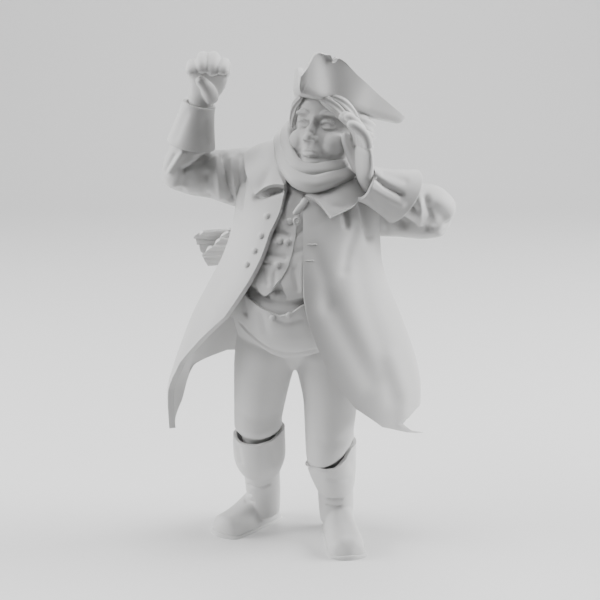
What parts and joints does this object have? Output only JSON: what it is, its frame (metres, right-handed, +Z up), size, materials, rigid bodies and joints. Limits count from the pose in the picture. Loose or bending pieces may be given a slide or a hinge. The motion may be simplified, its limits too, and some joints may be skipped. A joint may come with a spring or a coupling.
{
  "type": "town crier figurine",
  "caption": "Standing figurine of a town crier in a three-cornered hat, scarf and long open coat, one fist raised and one hand cupped beside the mouth.",
  "frame": {"origin": "on the ground, under the middle of the figurine's bounding box", "axes": "+Z up, from the soles to the hat. The belly faces -Y, the raised right fist is on the -X side and the left elbow on the +X side."},
  "size_m": [0.0858, 0.0498, 0.15],
  "materials": {
    "white_plastic": "matte"
  },
  "bodies": {
    "root": {"figurine": "white_plastic"}
  },
  "joints": []
}
